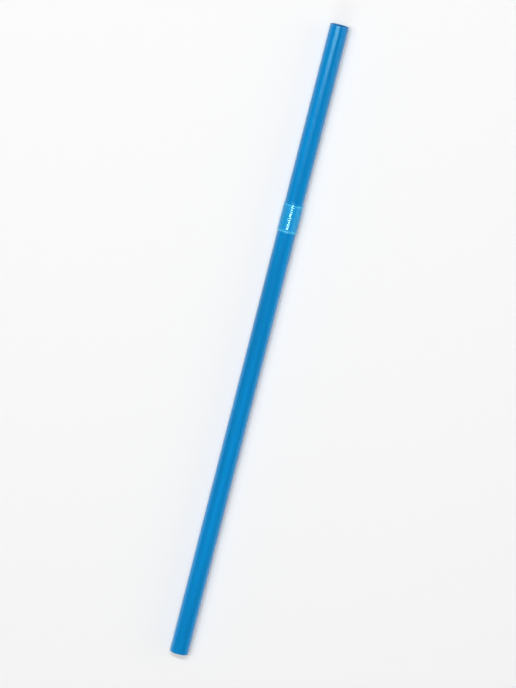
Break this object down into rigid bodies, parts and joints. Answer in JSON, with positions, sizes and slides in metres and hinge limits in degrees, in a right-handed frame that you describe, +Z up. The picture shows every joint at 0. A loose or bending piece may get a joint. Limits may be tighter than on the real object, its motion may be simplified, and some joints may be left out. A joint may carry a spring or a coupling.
{
  "type": "drinking straw",
  "caption": "Slim plastic drinking straw, cut square at both ends, with its flexible bellows pushed shut near the mouth end.",
  "frame": {"origin": "centre of the square cut at the stem end, the end that stands in the drink", "axes": "+X along the straw towards the mouth, +Z up with the straw lying down"},
  "size_m": [0.21, 0.0066, 0.0064],
  "materials": {
    "straw_plastic": "extruded polypropylene, coloured right through, glossy and slightly translucent"
  },
  "bodies": {
    "root": {"straw": "straw_plastic"}
  },
  "joints": []
}
